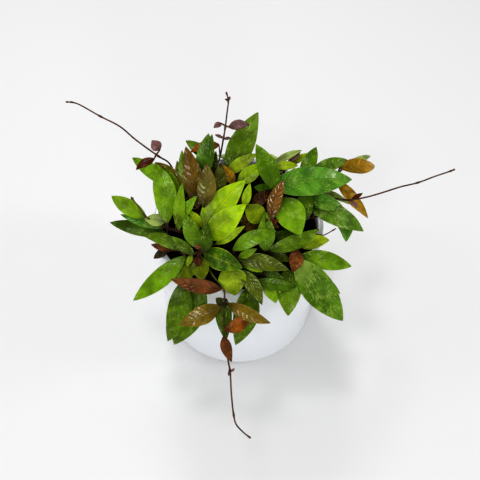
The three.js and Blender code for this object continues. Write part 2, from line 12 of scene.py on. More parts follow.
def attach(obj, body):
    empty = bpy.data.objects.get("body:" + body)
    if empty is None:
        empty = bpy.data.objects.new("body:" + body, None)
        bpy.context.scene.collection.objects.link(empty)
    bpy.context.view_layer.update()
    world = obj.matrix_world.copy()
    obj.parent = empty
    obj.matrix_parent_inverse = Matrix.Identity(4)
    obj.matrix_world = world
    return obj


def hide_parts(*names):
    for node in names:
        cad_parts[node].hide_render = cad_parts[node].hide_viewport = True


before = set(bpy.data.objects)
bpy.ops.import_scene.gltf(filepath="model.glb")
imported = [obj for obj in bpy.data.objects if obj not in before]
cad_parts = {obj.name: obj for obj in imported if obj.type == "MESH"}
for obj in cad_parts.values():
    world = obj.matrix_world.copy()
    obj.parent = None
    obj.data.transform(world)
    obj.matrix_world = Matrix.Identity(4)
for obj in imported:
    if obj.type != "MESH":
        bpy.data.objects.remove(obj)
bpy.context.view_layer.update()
MM = 0.001


# --- The photograph's view --------------------------------------------------------------------
# The photograph is taken from in front of the planter and well above it. A square frame of
# 480 pixels, seen through a 50 mm lens, gives each pixel its own sight line.
EYE = Vector((1.6, -342, 582))
EYE_TILT = math.radians(54.5)
LENS = 50
SENSOR = 36
FRAME_PIXELS = 480
FOCAL_PIXELS = LENS / SENSOR * FRAME_PIXELS

camera = bpy.data.objects.new("camera", bpy.data.cameras.new("camera"))
camera.data.lens = LENS
camera.data.sensor_width = SENSOR
camera.data.clip_start = 0.01
camera.location = EYE * MM
camera.rotation_euler = (math.pi / 2 - EYE_TILT, 0, 0)
bpy.context.scene.collection.objects.link(camera)
bpy.context.scene.camera = camera


def sight_line(across, down):
    right = (across - FRAME_PIXELS / 2) / FOCAL_PIXELS
    up = (FRAME_PIXELS / 2 - down) / FOCAL_PIXELS
    forward = Vector((0, math.cos(EYE_TILT), -math.sin(EYE_TILT)))
    upward = Vector((0, math.sin(EYE_TILT), math.cos(EYE_TILT)))
    return forward + Vector((right, 0, 0)) + upward * up


# --- Light and floor --------------------------------------------------------------------------
# A pale table under soft studio light. Six small round panels stand above and all round the plant,
# the strongest behind it, and a bright even surround fills the shadows.
FLOOR_WIDTH = 6.0
LIGHT_TARGET = Vector((0, 0, 0.12))


def linked(name, data):
    piece = bpy.data.objects.new(name, data)
    bpy.context.scene.collection.objects.link(piece)
    return piece


def panel(name, place, width, watts):
    light = bpy.data.lights.new(name, "AREA")
    light.shape = "DISK"
    light.size = width
    light.energy = watts
    lamp = linked(name, light)
    lamp.location = place
    lamp.rotation_euler = (LIGHT_TARGET - lamp.location).to_track_quat("-Z", "Y").to_euler()


panel("overhead_panel", (-0.25, 0.15, 1.5), 0.25, 2.2)
panel("back_panel", (-0.2, 0.95, 1.3), 0.3, 3.3)
panel("left_panel", (-1.2, 0.0, 1.0), 0.25, 1.2)
panel("right_panel", (1.3, -0.1, 0.9), 0.25, 2.0)
panel("middle_panel", (-0.4, -1.0, 1.2), 0.25, 1.8)
panel("front_panel", (0.35, -1.5, 0.6), 0.3, 2.5)

world = bpy.data.worlds.new("surround")
world.use_nodes = True
world.node_tree.nodes["Background"].inputs["Color"].default_value = (0.995, 0.99, 1.0, 1)
world.node_tree.nodes["Background"].inputs["Strength"].default_value = 0.43
bpy.context.scene.world = world
world.cycles_visibility.glossy = False
bpy.context.scene.view_settings.view_transform = "Standard"
bpy.context.scene.view_settings.look = "High Contrast"


def finish(name, roughness=0.5):
    """A new material and its Principled shader, nodes and links."""
    material = bpy.data.materials.new(name)
    material.use_nodes = True
    nodes = material.node_tree.nodes
    shader = nodes["Principled BSDF"]
    shader.inputs["Roughness"].default_value = roughness
    return material, shader, nodes, material.node_tree.links


def mesh_piece(name, form, *materials):
    """A bmesh as a smooth-shaded object in millimetres, brought to metres."""
    for corner in form.verts:
        corner.co *= MM
    mesh = bpy.data.meshes.new(name)
    form.to_mesh(mesh)
    form.free()
    for face in mesh.polygons:
        face.use_smooth = True
    for material in materials:
        mesh.materials.append(material)
    return linked(name, mesh)


table_top, shader = finish("table_top", 0.6)[:2]
shader.inputs["Base Color"].default_value = (0.85, 0.85, 0.85, 1)
floor_form = bmesh.new()
bmesh.ops.create_grid(floor_form, x_segments=1, y_segments=1, size=FLOOR_WIDTH / 2 / MM)
floor = mesh_piece("table_top", floor_form, table_top)


# --- Planter ----------------------------------------------------------------------------------
# A slip-cast cover pot with a smooth white glaze, slightly uneven where it pooled. It has no
# drain hole, and its foot and rim are rounded.
PLANTER_HEIGHT = 131
PLANTER_RIM_RADIUS = 72.5
PLANTER_FOOT_RADIUS = 71.5
PLANTER_WALL = 5
PLANTER_TAPER = 1
PLANTER_FLOOR = 5
FOOT_ROUNDING = 7
RIM_ROUNDING = 1.6
PLANTER_SEGMENTS = 144
FOOT_STEPS = 8
RIM_STEPS = 5
INSIDE_STEPS = 6
WELD_DISTANCE = 0.001


def arc(centre_radius, centre_height, radius, start, end, steps):
    """Profile points of a rounded corner, between two directions in degrees."""
    points = []
    for i in range(steps + 1):
        angle = math.radians(start + (end - start) * i / steps)
        points.append((centre_radius + radius * math.cos(angle), centre_height + radius * math.sin(angle)))
    return points


def turned(profile, segments):
    """A profile of radius and height spun round the planter's centre line."""
    form = bmesh.new()
    corners = [form.verts.new((radius, 0, height)) for radius, height in profile]
    edges = [form.edges.new(pair) for pair in zip(corners, corners[1:])]
    bmesh.ops.spin(form, geom=corners + edges, axis=(0, 0, 1), cent=(0, 0, 0),
                   angle=2 * math.pi, steps=segments, use_merge=True)
    bmesh.ops.remove_doubles(form, verts=form.verts, dist=WELD_DISTANCE)
    bmesh.ops.recalc_face_normals(form, faces=form.faces)
    return form


def laid_on(nodes, links, kind, scale):
    """A pattern laid over a piece in the piece's own coordinates."""
    place = nodes.new("ShaderNodeTexCoord")
    pattern = nodes.new(kind)
    pattern.inputs["Scale"].default_value = scale
    links.new(place.outputs["Object"], pattern.inputs["Vector"])
    return pattern


def mottled(shader, nodes, links, pattern, dark, light):
    """Soft mottling between two tones, each a level of the pattern and its colour."""
    tone = nodes.new("ShaderNodeValToRGB")
    for stop, (level, colour) in zip(tone.color_ramp.elements, (dark, light)):
        stop.position = level
        stop.color = colour
    links.new(pattern.outputs["Fac"], tone.inputs["Fac"])
    links.new(tone.outputs["Color"], shader.inputs["Base Color"])


def raised(shader, nodes, links, height, strength, distance):
    """A fine relief that follows a height pattern."""
    relief = nodes.new("ShaderNodeBump")
    relief.inputs["Strength"].default_value = strength
    relief.inputs["Distance"].default_value = distance
    links.new(height, relief.inputs["Height"])
    links.new(relief.outputs["Normal"], shader.inputs["Normal"])


inside = PLANTER_RIM_RADIUS - PLANTER_WALL
rim_centre = PLANTER_HEIGHT - RIM_ROUNDING
hollow = inside - PLANTER_TAPER - FOOT_ROUNDING
planter_form = turned([
    (0, 0),
    *arc(PLANTER_FOOT_RADIUS - FOOT_ROUNDING, FOOT_ROUNDING, FOOT_ROUNDING, -90, 0, FOOT_STEPS),
    *arc(PLANTER_RIM_RADIUS - RIM_ROUNDING, rim_centre, RIM_ROUNDING, 0, 90, RIM_STEPS),
    *arc(inside + RIM_ROUNDING, rim_centre, RIM_ROUNDING, 90, 180, RIM_STEPS),
    *arc(hollow, PLANTER_FLOOR + FOOT_ROUNDING, FOOT_ROUNDING, 0, -90, INSIDE_STEPS),
    (0, PLANTER_FLOOR),
], PLANTER_SEGMENTS)

glaze, shader, nodes, links = finish("white_glaze", 0.22)
shader.inputs["Coat Weight"].default_value = 0.35
shader.inputs["Coat Roughness"].default_value = 0.12
pooling = laid_on(nodes, links, "ShaderNodeTexNoise", 16)
pooling.inputs["Detail"].default_value = 3
mottled(shader, nodes, links, pooling, (0, (0.84, 0.87, 0.91, 1)), (1, (0.89, 0.91, 0.94, 1)))
orange_peel = laid_on(nodes, links, "ShaderNodeTexNoise", 260)
raised(shader, nodes, links, orange_peel.outputs["Fac"], 0.05, 0.0004)

planter = mesh_piece("planter_glazed", planter_form, glaze)
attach(planter, "root")
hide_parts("planter")


# --- Nursery pot ------------------------------------------------------------------------------
# A thin black moulded plastic pot that stands on the planter's floor. Its wall steps out near
# the top to a plain upright lip.
CLEARANCE = 0.3
NURSERY_BOTTOM = PLANTER_FLOOR + CLEARANCE
NURSERY_BELOW_RIM = 8
NURSERY_LIP_HEIGHT = 12
NURSERY_TOP = PLANTER_HEIGHT - NURSERY_BELOW_RIM
NURSERY_STEP = NURSERY_TOP - NURSERY_LIP_HEIGHT
NURSERY_LIP_RADIUS = 66.2
NURSERY_STEP_RADIUS = 63.6
NURSERY_FLOOR_RADIUS = 50
NURSERY_WALL = 1.6
LIP_ROUNDING = 0.6
LIP_STEPS = 3
NURSERY_SEGMENTS = 120

lip_inside = NURSERY_LIP_RADIUS - NURSERY_WALL
lip_edge = NURSERY_TOP - LIP_ROUNDING
nursery_form = turned([
    (0, NURSERY_BOTTOM),
    (NURSERY_FLOOR_RADIUS, NURSERY_BOTTOM),
    (NURSERY_STEP_RADIUS, NURSERY_STEP),
    (NURSERY_LIP_RADIUS, NURSERY_STEP + NURSERY_WALL),
    *arc(NURSERY_LIP_RADIUS - LIP_ROUNDING, lip_edge, LIP_ROUNDING, 0, 90, LIP_STEPS),
    *arc(lip_inside + LIP_ROUNDING, lip_edge, LIP_ROUNDING, 90, 180, LIP_STEPS),
    (lip_inside, NURSERY_STEP + 2 * NURSERY_WALL),
    (NURSERY_STEP_RADIUS - NURSERY_WALL, NURSERY_STEP + NURSERY_WALL),
    (NURSERY_FLOOR_RADIUS - NURSERY_WALL, NURSERY_BOTTOM + NURSERY_WALL),
    (0, NURSERY_BOTTOM + NURSERY_WALL),
], NURSERY_SEGMENTS)

plastic, shader, nodes, links = finish("dark_plastic", 0.42)
shader.inputs["Specular IOR Level"].default_value = 0.05
dust = laid_on(nodes, links, "ShaderNodeTexNoise", 90)
dust.inputs["Detail"].default_value = 6
mottled(shader, nodes, links, dust, (0.45, (0.012, 0.010, 0.009, 1)), (0.75, (0.055, 0.04, 0.03, 1)))
raised(shader, nodes, links, dust.outputs["Fac"], 0.15, 0.0005)

nursery_pot = mesh_piece("nursery_pot_moulded", nursery_form, plastic)
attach(nursery_pot, "root")
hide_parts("nursery_pot")


# --- Soil -------------------------------------------------------------------------------------
# Damp dark potting mix that fills the nursery pot to just under its lip: a lumpy bed with loose
# crumbs of peat and bark on top.
SOIL_BELOW_RIM = 21
SOIL_TOP = PLANTER_HEIGHT - SOIL_BELOW_RIM
SOIL_RINGS = 30
SOIL_SEGMENTS = 96
SOIL_BUMP = 1.3
SOIL_LUMP = 7
CRUMBS = 420
CRUMB_SMALLEST = 0.7
CRUMB_LARGEST = 2.0
CRUMB_FLATNESS = (0.5, 0.9)
CRUMB_LUMPINESS = 0.5
CRUMB_RISE = 0.2
CRUMB_EDGE_GAP = 3

wall_slope = (NURSERY_STEP_RADIUS - NURSERY_FLOOR_RADIUS) / (NURSERY_STEP - NURSERY_BOTTOM)
soil_foot = NURSERY_BOTTOM + NURSERY_WALL + CLEARANCE
soil_foot_radius = NURSERY_FLOOR_RADIUS - NURSERY_WALL - CLEARANCE
soil_radius = soil_foot_radius + wall_slope * (SOIL_TOP - soil_foot)
soil_profile = [(0, soil_foot), (soil_foot_radius, soil_foot), (soil_radius, SOIL_TOP - SOIL_BUMP)]
soil_profile += [(soil_radius * (1 - i / SOIL_RINGS), SOIL_TOP) for i in range(1, SOIL_RINGS + 1)]
soil_form = turned(soil_profile, SOIL_SEGMENTS)
for corner in soil_form.verts:
    if corner.co.z > SOIL_TOP - SOIL_BUMP / 2:
        corner.co.z += SOIL_BUMP * noise.fractal(corner.co / SOIL_LUMP, 0.8, 2.0, 4)

chance = random.Random(11)
for i in range(CRUMBS):
    reach = (soil_radius - CRUMB_EDGE_GAP) * math.sqrt(chance.random())
    angle = chance.uniform(0, 2 * math.pi)
    size = chance.uniform(CRUMB_SMALLEST, CRUMB_LARGEST)
    crumb = bmesh.ops.create_icosphere(soil_form, subdivisions=2, radius=size)["verts"]
    middle = Vector((reach * math.cos(angle), reach * math.sin(angle), SOIL_TOP + CRUMB_RISE))
    flatness = chance.uniform(*CRUMB_FLATNESS)
    for corner in crumb:
        corner.co *= 1 + CRUMB_LUMPINESS * noise.noise(corner.co / size + Vector((i, 0, 0)))
        corner.co.z *= flatness
        corner.co += middle

soil_mix, shader, nodes, links = finish("soil_mix", 0.85)
shader.inputs["Specular IOR Level"].default_value = 0.08
damp = laid_on(nodes, links, "ShaderNodeTexNoise", 120)
damp.inputs["Detail"].default_value = 8
mottled(shader, nodes, links, damp, (0.35, (0.003, 0.002, 0.0015, 1)), (0.8, (0.03, 0.017, 0.009, 1)))
crumbs = laid_on(nodes, links, "ShaderNodeTexVoronoi", 420)
raised(shader, nodes, links, crumbs.outputs["Distance"], 0.7, 0.001)

soil = mesh_piece("soil_bed", soil_form, soil_mix)
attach(soil, "root")
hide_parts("soil")


# --- Bark -------------------------------------------------------------------------------------
# Stems, leaf stalks and runners are thin, woody and purple-brown, with fine cracks. The bark is
# green on young growth, and mottled orange-brown where buds have dropped off. Each is a round tube
# that swells at its joints.
STEM_RADIUS = 1.4
STALK_RADIUS = 0.8
RUNNER_RADIUS = 0.85
STEM_HOLE_DEPTH = 22
STEM_RISE = 5
STEM_TAPER = 0.75
KNOT_SWELLING = 0.6
KNOT_REACH = 1.5
ROUTE_STEPS = 8


def bark_skin(name, dark, light):
    """Bark mottled between two colours, with fine cracks."""
    material, shader, nodes, links = finish(name, 0.5)
    shader.inputs["Specular IOR Level"].default_value = 0.2
    mottle = laid_on(nodes, links, "ShaderNodeTexNoise", 130)
    mottle.inputs["Detail"].default_value = 5
    mottled(shader, nodes, links, mottle, (0.35, dark), (0.72, light))
    cracks = laid_on(nodes, links, "ShaderNodeTexNoise", 700)
    raised(shader, nodes, links, cracks.outputs["Fac"], 0.35, 0.0003)
    return material


old_bark = bark_skin("old_bark", (0.042, 0.020, 0.014, 1), (0.18, 0.09, 0.05, 1))
young_bark = bark_skin("young_bark", (0.09, 0.12, 0.015, 1), (0.22, 0.27, 0.04, 1))
scarred_bark = bark_skin("scarred_bark", (0.03, 0.012, 0.006, 1), (0.42, 0.19, 0.05, 1))
OLD, YOUNG, SCARRED = range(3)


def smooth_route(route, steps=ROUTE_STEPS):
    """Points along the centripetal curve through a route, with a few steps between its places."""
    ends = [route[0] * 2 - route[1], *route, route[-1] * 2 - route[-2]]
    places = []
    for a, b, c, d in zip(ends, ends[1:], ends[2:], ends[3:]):
        first = math.sqrt((b - a).length)
        second = first + math.sqrt((c - b).length)
        third = second + math.sqrt((d - c).length)
        for i in range(steps):
            at = first + (second - first) * i / steps
            before = a.lerp(b, at / first).lerp(b.lerp(c, (at - first) / (second - first)), at / second)
            after = b.lerp(c, (at - first) / (second - first)).lerp(
                c.lerp(d, (at - second) / (third - second)), (at - first) / (third - first))
            places.append(before.lerp(after, (at - first) / (second - first)))
    return places + [route[-1]]


def woody(name):
    """An empty curve for one plant stem and what branches off it."""
    curve = bpy.data.curves.new(name, "CURVE")
    curve.dimensions = "3D"
    curve.bevel_depth = MM
    curve.bevel_resolution = 2
    curve.use_fill_caps = True
    for material in (old_bark, young_bark, scarred_bark):
        curve.materials.append(material)
    return curve


def tube(curve, points, radii, skin=OLD):
    spline = curve.splines.new("POLY")
    spline.points.add(len(points) - 1)
    for corner, point, radius in zip(spline.points, points, radii):
        corner.co = (*(point * MM), 1)
        corner.radius = radius
    spline.use_smooth = True
    spline.material_index = skin


def stem_route(root, joints):
    """A stem's places, from the bottom of its hole in the soil up through its joints."""
    upright = (-STEM_HOLE_DEPTH, -STEM_HOLE_DEPTH / 2, 0, STEM_RISE)
    return [Vector((*root, SOIL_TOP + lift)) for lift in upright] + list(joints)


def nearest(points, target):
    return min(points, key=lambda point: (point - target).length)


def swelling(points, knots, radius, tip_share):
    """Radii that taper towards the tip and swell round each knot."""
    radii = []
    for i, point in enumerate(points):
        near = min((point - knot).length for knot in knots)
        taper = 1 + (tip_share - 1) * i / (len(points) - 1)
        radii.append(radius * taper * (1 + KNOT_SWELLING * math.exp(-(near / KNOT_REACH) ** 2)))
    return radii


# --- Leaf surface -----------------------------------------------------------------------------
# Thick glossy blades with a sunk midrib and faint side veins that quilt the young ones. Many are
# splashed with silver-green flecks, and the margin is often paler. Undersides are duller.
# All the tints are raised together by one brightness, which suits the lights.
Tint = namedtuple("Tint", "colour margin flecks quilt gloss blotch", defaults=[0])
LEAF_BRIGHTNESS = 2.0
FLECK_COLOUR = (0.36, 0.48, 0.10, 1)
UNDERSIDE_COLOUR = (0.16, 0.22, 0.05, 1)
BLACK = (0, 0, 0, 1)
TINTS = {
    "green": Tint((0.10, 0.19, 0.002), (0.14, 0.25, 0.004), 0.6, 0.2, 0.35),
    "bright": Tint((0.12, 0.21, 0.003), (0.19, 0.29, 0.005), 0.6, 0.2, 0.2),
    "fresh": Tint((0.08, 0.16, 0.001), (0.10, 0.21, 0.002), 0.5, 0.2, 0.15),
    "emerald": Tint((0.05, 0.11, 0.001), (0.07, 0.16, 0.002), 0.5, 0.2, 0.15),
    "mid": Tint((0.07, 0.12, 0.002), (0.10, 0.19, 0.003), 0.65, 0.2, 0.2),
    "deep": Tint((0.045, 0.085, 0.001), (0.06, 0.13, 0.002), 0.5, 0.2, 0.2),
    "speckled": Tint((0.065, 0.135, 0.006), (0.09, 0.19, 0.006), 1.0, 0.2, 0.3),
    "variegated": Tint((0.07, 0.15, 0.004), (0.10, 0.20, 0.006), 0.9, 0.2, 0.15, 1),
    "silver": Tint((0.07, 0.18, 0.014), (0.10, 0.22, 0.02), 0.8, 0.3, 0.45),
    "lime": Tint((0.19, 0.30, 0.002), (0.32, 0.40, 0.003), 0.55, 0.25, 0.15),
    "yellow_green": Tint((0.18, 0.25, 0.003), (0.27, 0.34, 0.005), 0.55, 0.3, 0.15),
    "moss": Tint((0.12, 0.16, 0.002), (0.20, 0.24, 0.003), 0.6, 0.3, 0.2),
    "pale": Tint((0.27, 0.39, 0.012), (0.38, 0.47, 0.02), 0.1, 0.1, 0.1),
    "sage": Tint((0.23, 0.29, 0.08), (0.26, 0.33, 0.10), 0.1, 0.1, 0.1),
    "lime_edged": Tint((0.036, 0.09, 0.001), (0.28, 0.38, 0.003), 0.4, 0.25, 0.25),
    "olive": Tint((0.07, 0.09, 0.003), (0.10, 0.13, 0.004), 0.6, 0.4, 0.45),
    "dark_olive": Tint((0.045, 0.05, 0.002), (0.07, 0.08, 0.003), 0.4, 0.6, 0.4),
    "taupe": Tint((0.10, 0.08, 0.012), (0.11, 0.09, 0.014), 0.4, 0.3, 0.6),
    "bronze": Tint((0.125, 0.085, 0.006), (0.17, 0.12, 0.007), 0.1, 0.3, 0.8),
    "brown": Tint((0.095, 0.055, 0.003), (0.13, 0.08, 0.005), 0.1, 0.4, 0.4),
    "dark_bronze": Tint((0.05, 0.03, 0.003), (0.08, 0.05, 0.004), 0.0, 0.9, 0.4),
    "chestnut": Tint((0.15, 0.07, 0.008), (0.18, 0.09, 0.01), 0.0, 0.7, 1),
    "maroon": Tint((0.08, 0.03, 0.004), (0.12, 0.05, 0.006), 0.0, 0.9, 0.5),
    "amber": Tint((0.27, 0.15, 0.004), (0.29, 0.18, 0.008), 0.0, 0.8, 0.2),
    "copper": Tint((0.22, 0.07, 0.003), (0.24, 0.09, 0.005), 0.0, 0.7, 0.2),
    "red_brown": Tint((0.15, 0.05, 0.01), (0.15, 0.07, 0.01), 0.0, 0.7, 0.4),
    "dark_red": Tint((0.10, 0.02, 0.004), (0.12, 0.03, 0.005), 0.0, 0.5, 0.3),
    "purple": Tint((0.16, 0.08, 0.075), (0.18, 0.10, 0.09), 0.0, 0.4, 0.2),
}


def group(name, inputs, outputs):
    """An empty shader node group with named sockets, given as (name, kind) pairs."""
    tree = bpy.data.node_groups.new(name, "ShaderNodeTree")
    for socket, kind in inputs:
        tree.interface.new_socket(socket, in_out="INPUT", socket_type=kind)
    for socket, kind in outputs:
        tree.interface.new_socket(socket, in_out="OUTPUT", socket_type=kind)
    return tree, tree.nodes.new("NodeGroupInput"), tree.nodes.new("NodeGroupOutput")


def placed(nodes, tree):
    node = nodes.new("ShaderNodeGroup")
    node.node_tree = tree
    return node


def maths(tree, operation, *values):
    """A math node whose inputs are sockets or plain numbers; gives its result socket."""
    node = tree.nodes.new("ShaderNodeMath")
    node.operation = operation
    for socket, value in zip(node.inputs, values):
        if isinstance(value, (int, float)):
            socket.default_value = value
        else:
            tree.links.new(value, socket)
    return node.outputs[0]


def ranged(tree, value, low, high, to_low=0.0, to_high=1.0):
    node = tree.nodes.new("ShaderNodeMapRange")
    node.interpolation_type = "SMOOTHSTEP"
    tree.links.new(value, node.inputs["Value"])
    node.inputs["From Min"].default_value = low
    node.inputs["From Max"].default_value = high
    node.inputs["To Min"].default_value = to_low
    node.inputs["To Max"].default_value = to_high
    return node.outputs["Result"]


def blended(tree, share, first, second):
    """The mix of two colours, each a socket or a plain colour."""
    node = tree.nodes.new("ShaderNodeMix")
    node.data_type = "RGBA"
    for name, value in (("A", first), ("B", second)):
        socket = [s for s in node.inputs if s.name == name and s.type == "RGBA"][0]
        if isinstance(value, tuple):
            socket.default_value = value
        else:
            tree.links.new(value, socket)
    share_socket = node.inputs["Factor"]
    if isinstance(share, (int, float)):
        share_socket.default_value = share
    else:
        tree.links.new(share, share_socket)
    return [s for s in node.outputs if s.type == "RGBA"][0]


# Veins: a midrib down the middle, and side veins that leave it at a slant. The flesh between the side
# veins is painted in darker and lighter bands of shade, and the painted shade is darkest near the stalk.
SIDE_VEINS = 8
VEIN_SLANT = 3.2
veins, group_in, group_out = group(
    "leaf_veins", [("UV", "NodeSocketVector"), ("Number", "NodeSocketFloat")],
    [("Midrib", "NodeSocketFloat"), ("Cells", "NodeSocketFloat"), ("Edge", "NodeSocketFloat"),
     ("Crown", "NodeSocketFloat"), ("ShadeBands", "NodeSocketFloat")])
split = veins.nodes.new("ShaderNodeSeparateXYZ")
veins.links.new(group_in.outputs["UV"], split.inputs[0])
off_middle = maths(veins, "ABSOLUTE", maths(veins, "SUBTRACT", split.outputs["X"], 0.5))
slanted = maths(veins, "SUBTRACT", maths(veins, "MULTIPLY", split.outputs["Y"], SIDE_VEINS),
                maths(veins, "MULTIPLY", off_middle, VEIN_SLANT))
ripple = maths(veins, "ABSOLUTE", maths(veins, "SINE", maths(veins, "MULTIPLY", slanted, math.pi)))
across_bands = veins.nodes.new("ShaderNodeCombineXYZ")
veins.links.new(slanted, across_bands.inputs["X"])
veins.links.new(split.outputs["X"], across_bands.inputs["Y"])
veins.links.new(group_in.outputs["Number"], across_bands.inputs["Z"])
bands = veins.nodes.new("ShaderNodeTexNoise")
bands.inputs["Scale"].default_value = 1.3
bands.inputs["Detail"].default_value = 3
bands.inputs["Roughness"].default_value = 0.6
veins.links.new(across_bands.outputs[0], bands.inputs["Vector"])
veins.links.new(ranged(veins, off_middle, 0.012, 0.045, 1.0, 0.0), group_out.inputs["Midrib"])
veins.links.new(ripple, group_out.inputs["Cells"])
veins.links.new(ranged(veins, off_middle, 0.36, 0.49), group_out.inputs["Edge"])
veins.links.new(ranged(veins, split.outputs["Y"], 0.0, 0.4, 1.0, 0.0), group_out.inputs["Crown"])
veins.links.new(ranged(veins, bands.outputs["Fac"], 0.35, 0.65), group_out.inputs["ShadeBands"])

# Flecks: small splashes, drawn out along the blade and gathered in patches
flecks, group_in, group_out = group(
    "leaf_flecks", [("Span", "NodeSocketVector"), ("Amount", "NodeSocketFloat")],
    [("Mask", "NodeSocketFloat")])
stretch = flecks.nodes.new("ShaderNodeMapping")
stretch.inputs["Scale"].default_value = (1.0, 0.35, 1.0)
splash = flecks.nodes.new("ShaderNodeTexNoise")
splash.inputs["Scale"].default_value = 1.25
splash.inputs["Detail"].default_value = 3
splash.inputs["Roughness"].default_value = 0.65
patches = flecks.nodes.new("ShaderNodeTexNoise")
patches.inputs["Scale"].default_value = 0.12
flecks.links.new(group_in.outputs["Span"], stretch.inputs["Vector"])
flecks.links.new(stretch.outputs["Vector"], splash.inputs["Vector"])
flecks.links.new(group_in.outputs["Span"], patches.inputs["Vector"])
patchy = maths(flecks, "MULTIPLY", patches.outputs["Fac"], 0.55)
reach = maths(flecks, "ADD", splash.outputs["Fac"], patchy)
lift = maths(flecks, "ADD", reach, maths(flecks, "MULTIPLY", group_in.outputs["Amount"], 0.17))
flecks.links.new(ranged(flecks, lift, 0.96, 1.03), group_out.inputs["Mask"])


def leaf_skin(name, roughness, gloss, dulling, fleck_share):
    """One side of the blades: their own colours with painted shade, softened by a duller tone on the
    underside.
    """
    material, shader, nodes, links = finish(name, roughness)
    tree = material.node_tree
    own = {}
    for layer in ("tint", "margin", "traits", "span", "gloss"):
        own[layer] = nodes.new("ShaderNodeAttribute")
        own[layer].attribute_name = layer
    span = own["span"].outputs["Vector"]
    traits = nodes.new("ShaderNodeSeparateXYZ")
    links.new(own["traits"].outputs["Vector"], traits.inputs[0])
    where = nodes.new("ShaderNodeSeparateXYZ")
    links.new(span, where.inputs[0])
    layout = nodes.new("ShaderNodeUVMap")
    layout.uv_map = "blade"
    vein = placed(nodes, veins)
    links.new(layout.outputs["UV"], vein.inputs["UV"])
    links.new(where.outputs["Z"], vein.inputs["Number"])
    fleck = placed(nodes, flecks)
    links.new(span, fleck.inputs["Span"])
    links.new(traits.outputs["X"], fleck.inputs["Amount"])

    clouds = nodes.new("ShaderNodeTexNoise")
    clouds.inputs["Scale"].default_value = 0.16
    clouds.inputs["Detail"].default_value = 4
    links.new(span, clouds.inputs["Vector"])
    margin_share = maths(tree, "ADD", maths(tree, "MULTIPLY", vein.outputs["Edge"], 0.7),
                         ranged(tree, clouds.outputs["Fac"], 0.42, 0.72, 0.0, 0.5))
    colour = blended(tree, margin_share, own["tint"].outputs["Color"], own["margin"].outputs["Color"])
    cloudy = ranged(tree, clouds.outputs["Fac"], 0.35, 0.5)
    blotch = maths(tree, "MULTIPLY", traits.outputs["Z"],
                   maths(tree, "MULTIPLY", vein.outputs["Crown"], cloudy))
    rib_share = maths(tree, "MULTIPLY", vein.outputs["Midrib"], 0.3)
    colour = blended(tree, rib_share, colour, own["margin"].outputs["Color"])
    shadow = blended(tree, 0.9, own["tint"].outputs["Color"], BLACK)
    # Painted shade: darker bands across the blade between the side veins, deeper on the quilted leaves.
    band_shade = maths(tree, "MULTIPLY_ADD", traits.outputs["Y"], 0.45, 0.15)
    colour = blended(tree, maths(tree, "MULTIPLY", vein.outputs["ShadeBands"], band_shade), colour, shadow)
    shadings = nodes.new("ShaderNodeTexNoise")
    shadings.inputs["Scale"].default_value = 0.07
    shadings.inputs["Detail"].default_value = 2
    links.new(span, shadings.inputs["Vector"])
    shaded = ranged(tree, shadings.outputs["Fac"], 0.4, 0.65, 0.0, 0.42)
    colour = blended(tree, shaded, colour, shadow)
    # Painted shade near the stalk, where the blade lies deep in the crown; blotched leaves are left
    # without it.
    unblotched = maths(tree, "SUBTRACT", 1, traits.outputs["Z"])
    crown_shade = maths(tree, "MULTIPLY", unblotched, maths(tree, "MULTIPLY", vein.outputs["Crown"], 0.5))
    colour = blended(tree, crown_shade, colour, shadow)
    pale = maths(tree, "MAXIMUM", maths(tree, "MULTIPLY", fleck.outputs["Mask"], fleck_share),
                 maths(tree, "MULTIPLY", blotch, 0.85))
    colour = blended(tree, pale, colour, FLECK_COLOUR)
    colour = blended(tree, dulling, colour, UNDERSIDE_COLOUR)
    links.new(colour, shader.inputs["Base Color"])

    quilt_depth = maths(tree, "MULTIPLY", traits.outputs["Y"], 0.4)
    quilting = maths(tree, "MULTIPLY", vein.outputs["Cells"], quilt_depth)
    bulges = maths(tree, "SUBTRACT", quilting, maths(tree, "MULTIPLY", vein.outputs["Midrib"], 0.4))
    pores = nodes.new("ShaderNodeTexNoise")
    pores.inputs["Scale"].default_value = 0.35
    pores.inputs["Detail"].default_value = 2
    links.new(span, pores.inputs["Vector"])
    wrinkles = maths(tree, "MULTIPLY", pores.outputs["Fac"],
                     maths(tree, "MULTIPLY_ADD", traits.outputs["Y"], 0.3, 0.06))
    relief = nodes.new("ShaderNodeBump")
    relief.inputs["Strength"].default_value = 1
    relief.inputs["Distance"].default_value = 0.001
    links.new(maths(tree, "ADD", bulges, wrinkles), relief.inputs["Height"])
    links.new(relief.outputs["Normal"], shader.inputs["Normal"])
    links.new(relief.outputs["Normal"], shader.inputs["Coat Normal"])
    links.new(ranged(tree, pores.outputs["Fac"], 0.3, 0.7, roughness - 0.05, roughness + 0.1),
              shader.inputs["Roughness"])
    links.new(maths(tree, "MULTIPLY", own["gloss"].outputs["Fac"], gloss), shader.inputs["Coat Weight"])
    shader.inputs["Coat Roughness"].default_value = 0.17
    shader.inputs["Specular IOR Level"].default_value = 0.22
    return material


leaf_top = leaf_skin("leaf_top", 0.38, 1.0, 0.0, 0.6)
leaf_underside = leaf_skin("leaf_underside", 0.5, 0.2, 0.35, 0.3)


# --- Leaf blades ------------------------------------------------------------------------------
# A blade is lance-shaped with a drawn-out tip, folded along its midrib and arched from stalk to
# tip. It is a thin living sheet, here a grid bent to shape that a Solidify modifier thickens.
BLADE_THICKNESS = 0.8
BLADE_FOLD = 0.22
BLADE_ARCH = 0.05
BLADE_COLUMNS = 10
BLADE_ROWS = 22
STALK_WIDTH = 1.8
EDGE_WAVE = 0.02
TIP_DROOP = 0.03
DROOP_START = 0.75
FOLD_ROUNDING = 0.6
BLADE_CUP = 0.06
BLADE_SKEW = 0.8
BLADE_FULLNESS = 0.85
SHADES = (0.88, 1.14)
PATTERN_PLACES = (0, 400)
EDGE_WAVES = (5, 8)
BLADE_TWISTS = (-0.12, 0.12)
blade_chance = random.Random(5)


